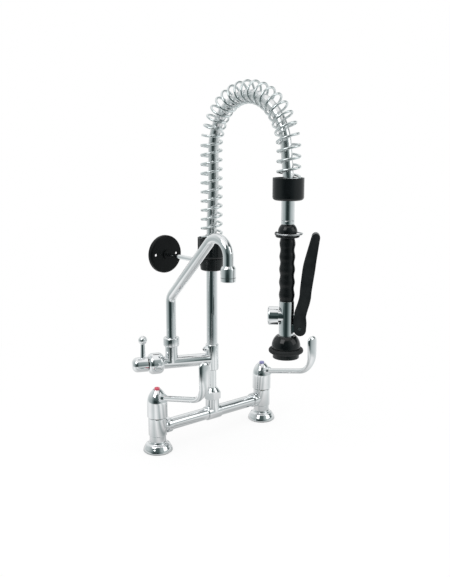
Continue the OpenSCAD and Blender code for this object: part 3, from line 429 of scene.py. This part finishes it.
def wire_point(t):
    out = arch_out(spring_s(t))
    turn = FULL_TURN * t
    side = Vector((math.sin(turn), 0, 0)) - math.cos(turn) * out
    return arch_point(spring_s(t)) + (SPRING_D - WIRE_D) / 2 * side


HOSE_D = 17.5 * MM
HOSE_GAP = 1 * MM  # between the hose and the inside of the coils
HOSE_INSET = (SPRING_D - 2 * WIRE_D - HOSE_D) / 2 - HOSE_GAP
HOSE_STEP = 12 * MM  # straight above the ferrule
HOSE_LEAN = 75 * MM  # length over which it leans over
HOSE_RETURN = 10 * MM  # where it starts back, before the half circle ends
HOSE_UPRIGHT = 20 * MM  # straight above the upper cup
HOSE_STEPS = 150
HOSE_SIDES = 28
hose_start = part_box("hose")[0].z - spring_foot
hose_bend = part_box("hose_ferrule")[1].z + HOSE_STEP - spring_foot
hose_foot = min(v.co.z for v in nodes["hose"].data.vertices if v.co.y < -arch_r)
hose_finish = spring_l + spring_end - hose_foot


def hose_point(s):
    """The hose lies against the inside of the coils round the arch.

    It leans over above its ferrule, and it is back in the middle above the upper cup.
    """
    lean = ease(hose_bend, hose_bend + HOSE_LEAN, s)
    lean *= 1 - ease(spring_l - leg_b - HOSE_RETURN, spring_l - HOSE_UPRIGHT, s)
    return arch_point(s) - HOSE_INSET * lean * arch_out(s)


def fine(start, stop, steps):
    """Evenly spaced values from start to stop."""
    return [start + (stop - start) * k / steps for k in range(steps + 1)]


def object_of(name, bm, look):
    """Object of a finished bmesh, in one material."""
    mesh = bpy.data.meshes.new(name)
    bm.to_mesh(mesh)
    bm.free()
    mesh.materials.append(look)
    return link_new(name, mesh)


def tube_piece(name, line, radius, sides, body, stands_for, look):
    """Smooth closed tube along a line of points, with the share of a turn and the length
    along it kept as its map."""
    bm = bmesh.new()
    along = bm.loops.layers.uv.new(BRAID_MAP)
    rings = []
    length = 0
    side = Vector((1, 0, 0))
    for k, point in enumerate(line):
        before, after = line[max(k - 1, 0)], line[min(k + 1, len(line) - 1)]
        way = (after - before).normalized()
        side = (side - way * side.dot(way)).normalized()
        up = way.cross(side)
        length += (point - before).length
        ring = []
        for n in range(sides):
            turn = FULL_TURN * n / sides
            out = math.cos(turn) * side + math.sin(turn) * up
            ring.append(bm.verts.new(point + radius * out))
        rings.append((ring, length))
    for (ring_a, low), (ring_b, high) in zip(rings, rings[1:]):
        for n in range(sides):
            m = (n + 1) % sides
            face = bm.faces.new((ring_a[n], ring_a[m], ring_b[m], ring_b[n]))
            face.smooth = True
            spots = ((n, low), (n + 1, low), (n + 1, high), (n, high))
            for loop, (turn, place) in zip(face.loops, spots):
                loop[along].uv = (turn / sides, place)
    bm.faces.new(list(reversed(rings[0][0])))
    bm.faces.new(rings[-1][0])
    piece = object_of(name, bm, look)
    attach(piece, body)
    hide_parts(stands_for)


wire = [wire_point(t) for t in fine(0, SPRING_TURNS, SPRING_TURNS * WIRE_STEPS)]
tube_piece(
    "coil_spring", wire, WIRE_D / 2, WIRE_SIDES, "arch", "spring", looks["spring"]
)
hose_line = [hose_point(s) for s in fine(hose_start, hose_finish, HOSE_STEPS)]
tube_piece(
    "hose_cover", hose_line, HOSE_D / 2, HOSE_SIDES, "arch", "hose", looks["hose"]
)

# ---- Image points: the photograph's frame of PHOTO_W by PHOTO_H ----

FEATURE_POINTS = {
    "wall_rosette": (166.2, 253.0),
    "side_lever": (142.0, 347.0),
    "hot_index": (158.0, 389.2),
    "cold_index": (261.8, 361.8),
    "upper_cup": (286.8, 187.3),
    "hold_ring": (288.0, 234.5),
    "grip": (287.5, 269.5),
    "valve_cap": (274.5, 315.0),
    "bumper_ring": (287.8, 348.0),
    "aerator_groove_shade": (228.8, 279.0),
}
NEAREST_TRIES = 20


def shown_mesh(piece):
    """Finished vertices and faces of a piece, in the frame."""
    ready = piece.evaluated_get(bpy.context.evaluated_depsgraph_get())
    mesh = ready.to_mesh()
    places = [ready.matrix_world @ vertex.co for vertex in mesh.vertices]
    faces = [tuple(polygon.vertices) for polygon in mesh.polygons]
    ready.to_mesh_clear()
    return places, faces


def surface_of(*pieces):
    """BVHTree of the pieces as finished and placed."""
    places, faces = [], []
    for piece in pieces:
        more, polygons = shown_mesh(piece)
        faces += [tuple(index + len(places) for index in polygon) for polygon in polygons]
        places += more
    return BVHTree.FromPolygons(places, faces)


def image_ray(x, y):
    """Direction in the frame of the ray through an image point."""
    side = max(PHOTO_W, PHOTO_H)
    aim = Vector((
        x - PHOTO_W / 2 + SHIFT_X * side,
        PHOTO_H / 2 - y + SHIFT_Y * side,
        -side * LENS / SENSOR,
    ))
    return (camera.matrix_world.to_3x3() @ aim).normalized()


def on_surface(point, *carriers):
    """Place where an image point's ray meets its carriers, or comes nearest to them."""
    tree = surface_of(*carriers)
    way = image_ray(*point)
    place = tree.ray_cast(CAMERA_PLACE, way)[0]
    if place is None:
        place = tree.find_nearest(CAMERA_PLACE)[0]
        for _ in range(NEAREST_TRIES):
            along = max(0.0, (place - CAMERA_PLACE).dot(way))
            place = tree.find_nearest(CAMERA_PLACE + way * along)[0]
    return place


def image_place(place):
    """x, y in the photograph's frame of a place in the frame."""
    local = camera.matrix_world.inverted() @ place
    side = max(PHOTO_W, PHOTO_H)
    scale = side * LENS / SENSOR / -local.z
    return (
        PHOTO_W / 2 - SHIFT_X * side + local.x * scale,
        PHOTO_H / 2 + SHIFT_Y * side - local.y * scale,
    )


# ---- Painted shade of the aerator's groove: a fine dark band round its housing ----

# Outwards from the housing's skin and upwards from the dark band's middle, in mm
GROOVE_SHADE_SECTION = ((-0.5, -0.35), (0.02, -0.35), (0.06, 0), (0.02, 0.35), (-0.5, 0.35))
GROOVE_SHADE_STEPS = 72


def add_aerator_groove_shade():
    housing = nodes["aerator_housing"]
    low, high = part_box("aerator_housing")
    place = on_surface(FEATURE_POINTS["aerator_groove_shade"], housing)
    centre = Vector(((low.x + high.x) / 2, (low.y + high.y) / 2, place.z))
    radius = (high.x - low.x) / 2
    bm = bmesh.new()
    rings = []
    for k in range(GROOVE_SHADE_STEPS):
        turn = FULL_TURN * k / GROOVE_SHADE_STEPS
        out = Vector((math.cos(turn), math.sin(turn), 0))
        rings.append([
            bm.verts.new(centre + out * (radius + reach * MM) + Vector((0, 0, rise * MM)))
            for reach, rise in GROOVE_SHADE_SECTION
        ])
    corners = len(GROOVE_SHADE_SECTION)
    for a, b in zip(rings, rings[1:] + rings[:1]):
        for n in range(corners):
            m = (n + 1) % corners
            bm.faces.new((a[n], b[n], b[m], a[m])).smooth = True
    bmesh.ops.recalc_face_normals(bm, faces=bm.faces)
    # Painted shade: a dark material stands in for the shade in a thin groove round the housing
    groove_shade = object_of("aerator_groove_shade", bm, looks["rubber"])
    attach(groove_shade, "spout")


add_aerator_groove_shade()

# ---- Floor, world and lamps ----

# What metal sees of the table top and of the walls, low and at a middle height: greys by
# share of a turn round the object. 0.5 is the camera's side, 0.25 is to the left of its
# view, 0.75 to the right, and 0 and 1 are the backdrop.
TABLE_TONES = (
    (0.00, 1.00), (0.20, 0.85), (0.30, 1.00), (0.38, 0.66), (0.43, 1.00), (0.50, 0.50),
    (0.55, 1.00), (0.61, 0.66), (0.68, 1.00), (0.80, 0.75), (0.90, 1.00), (1.00, 1.00),
)
WALLS_LOW = (
    (0.00, 0.16), (0.03, 0.45), (0.06, 0.95), (0.12, 0.78), (0.24, 0.52), (0.33, 0.40),
    (0.375, 0.16), (0.42, 0.035), (0.51, 0.03), (0.57, 0.20), (0.64, 0.50), (0.75, 0.66),
    (0.88, 0.90), (0.94, 0.95), (0.97, 0.45), (1.00, 0.16),
)
WALLS_MIDDLE = (
    (0.00, 1.00), (0.14, 0.85), (0.28, 0.60), (0.36, 0.30), (0.42, 0.11), (0.54, 0.11),
    (0.59, 0.42), (0.64, 0.45), (0.70, 0.10), (0.80, 0.10), (0.90, 0.60), (1.00, 1.00),
)
COOL = 1.15  # power that takes red down a little below green, the darker the more
LOW_TO_MIDDLE = (5, 20)  # degrees above the horizon over which the walls' tones change
MIDDLE_TO_WHITE = (46, 62)
FLOOR_HALF = 6.0
FLOOR_DROP = 0.2 * MM
FLOOR_GREY = (0.92, 0.92, 0.92, 1)
SHADOW_REACH = (0.25, 0.8)  # radii between which the floor fades into the backdrop
SHADOW_BASE = 0.86  # share of plain white near the object, where the floor is most itself
TABLE_R = 0.6
TABLE_FADE = 0.1
TABLE_MIDDLE = 0.66  # strength of the table top's middle
TABLE_RISE = (0.1, 0.3)  # radii between which it comes to full strength
WHITE = (1, 1, 1, 1)
SKY_GREY = (0.95, 0.95, 0.95, 1)


def tones_round(tree, place, stops):
    """Greys by share of a turn round the object, for a floor or world's place."""
    turn = tree.nodes.new("ShaderNodeMapping")
    turn.inputs["Rotation"].default_value = (0, 0, math.radians(CAMERA_TURN + 90))
    tree.links.new(place, turn.inputs["Vector"])
    round_room = tree.nodes.new("ShaderNodeTexGradient")
    round_room.gradient_type = "RADIAL"
    tree.links.new(turn.outputs["Vector"], round_room.inputs["Vector"])
    cool_stops = [(value, (grey ** COOL, grey, grey)) for value, grey in stops]
    return ramp_along(tree, round_room.outputs["Fac"], cool_stops)


def floor_look():
    """White floor: it keeps a soft shadow near the object and fades into the backdrop.

    Metal sees it as a pale table top of radius TABLE_R, beyond which the room shows.
    """
    graph = Graph("floor_white")
    graph.tree.nodes.remove(graph.shader)
    reach = graph.node("ShaderNodeVectorMath", operation="LENGTH")
    graph.link(graph.place, reach.inputs[0])
    away = reach.outputs["Value"]
    paths = graph.node("ShaderNodeLightPath").outputs
    plain = graph.node("ShaderNodeBsdfDiffuse")
    plain.inputs["Color"].default_value = FLOOR_GREY
    white = graph.node("ShaderNodeEmission")
    table = graph.node("ShaderNodeEmission")
    middle_up = graph.spread(away, TABLE_MIDDLE, 1.0, *TABLE_RISE)
    graph.link(middle_up, table.inputs["Strength"])
    graph.link(tones_round(graph.tree, graph.place, TABLE_TONES), table.inputs["Color"])
    clear = graph.node("ShaderNodeBsdfTransparent")

    seen = graph.calculate("MAXIMUM", paths["Is Camera Ray"], paths["Is Transmission Ray"])
    fading = graph.spread(away, SHADOW_BASE, 1.0, *SHADOW_REACH)
    faded = graph.calculate("MULTIPLY", seen, fading)
    floor = graph.mix_shaders(faded, plain.outputs[0], white.outputs[0])
    beyond = graph.spread(away, 0.0, 1.0, TABLE_R - TABLE_FADE, TABLE_R + TABLE_FADE)
    mirrored = graph.mix_shaders(beyond, table.outputs[0], clear.outputs[0])
    whole = graph.mix_shaders(paths["Is Glossy Ray"], floor, mirrored)
    graph.link(whole, graph.tree.nodes["Material Output"].inputs["Surface"])
    return graph.material


def add_floor():
    mesh = bpy.data.meshes.new("floor")
    corners = [
        (x * FLOOR_HALF, y * FLOOR_HALF, 0) for x, y in ((-1, -1), (1, -1), (1, 1), (-1, 1))
    ]
    mesh.from_pydata(corners, [], [(0, 1, 2, 3)])
    mesh.materials.append(floor_look())
    floor = link_new("floor", mesh)
    floor.location.z = -FLOOR_DROP
    floor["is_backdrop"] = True


def add_world():
    """White studio with a dark opening on the camera's side, seen only by metal and gloss."""
    world = bpy.data.worlds.new("studio")
    bpy.context.scene.world = world
    world.use_nodes = True
    tree = world.node_tree
    place = tree.nodes.new("ShaderNodeTexCoord").outputs["Generated"]
    height = tree.nodes.new("ShaderNodeSeparateXYZ")
    tree.links.new(place, height.inputs[0])

    def above(low, high):
        rise = tree.nodes.new("ShaderNodeMapRange")
        rise.interpolation_type = "SMOOTHSTEP"
        rise.inputs["From Min"].default_value = math.sin(math.radians(low))
        rise.inputs["From Max"].default_value = math.sin(math.radians(high))
        tree.links.new(height.outputs["Z"], rise.inputs["Value"])
        return rise.outputs["Result"]

    def blend(share, a, b):
        mix = tree.nodes.new("ShaderNodeMix")
        mix.data_type = "RGBA"
        for name, value in (("Factor", share), ("A", a), ("B", b)):
            if isinstance(value, tuple):
                mix.inputs[name].default_value = value
            else:
                tree.links.new(value, mix.inputs[name])
        return mix.outputs["Result"]

    low, middle = (tones_round(tree, place, stops) for stops in (WALLS_LOW, WALLS_MIDDLE))
    walls = blend(above(*LOW_TO_MIDDLE), low, middle)
    room = blend(above(*MIDDLE_TO_WHITE), walls, WHITE)
    paths = tree.nodes.new("ShaderNodeLightPath")
    lit = blend(paths.outputs["Is Glossy Ray"], SKY_GREY, room)
    shown = blend(paths.outputs["Is Camera Ray"], lit, WHITE)
    tree.links.new(shown, tree.nodes["Background"].inputs["Color"])


LAMP_SIZE = 1.2
LAMP_AIM = Vector((0, -0.06, 0.3))


def add_lamp(name, place, power):
    """Soft square lamp that faces the object."""
    data = bpy.data.lights.new(name, "AREA")
    data.size = LAMP_SIZE
    data.energy = power
    lamp = link_new(name, data)
    lamp.location = place
    lamp.rotation_euler = (LAMP_AIM - Vector(place)).to_track_quat("-Z", "Y").to_euler()


add_floor()
add_world()
add_lamp("key", (-1.6, -0.3, 1.7), power=12)
add_lamp("fill", (0.9, -1.5, 1.2), power=6)
bpy.context.scene.view_settings.view_transform = "Standard"

# ---- Middle of what shows of each feature's piece, in the photograph's frame ----

SIGHT_GAP = 1 * MM


def middle_shown(places, whole):
    """Middle of what shows of a piece, in the photograph's frame."""
    seen = []
    for place in places:
        way = place - CAMERA_PLACE
        hit = whole.ray_cast(CAMERA_PLACE, way.normalized(), way.length - SIGHT_GAP)
        if hit[0] is None:
            seen.append(image_place(place))
    if not seen:
        return None
    return tuple(
        (min(spot[axis] for spot in seen) + max(spot[axis] for spot in seen)) / 2
        for axis in (0, 1)
    )


def write_points():
    bpy.context.view_layer.update()
    pieces = {piece.name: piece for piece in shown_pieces()}
    whole = surface_of(*pieces.values())
    outline = [image_place(place) for piece in pieces.values() for place in shown_mesh(piece)[0]]
    for name, point in FEATURE_POINTS.items():
        middle = middle_shown(shown_mesh(pieces[name])[0], whole)


write_points()
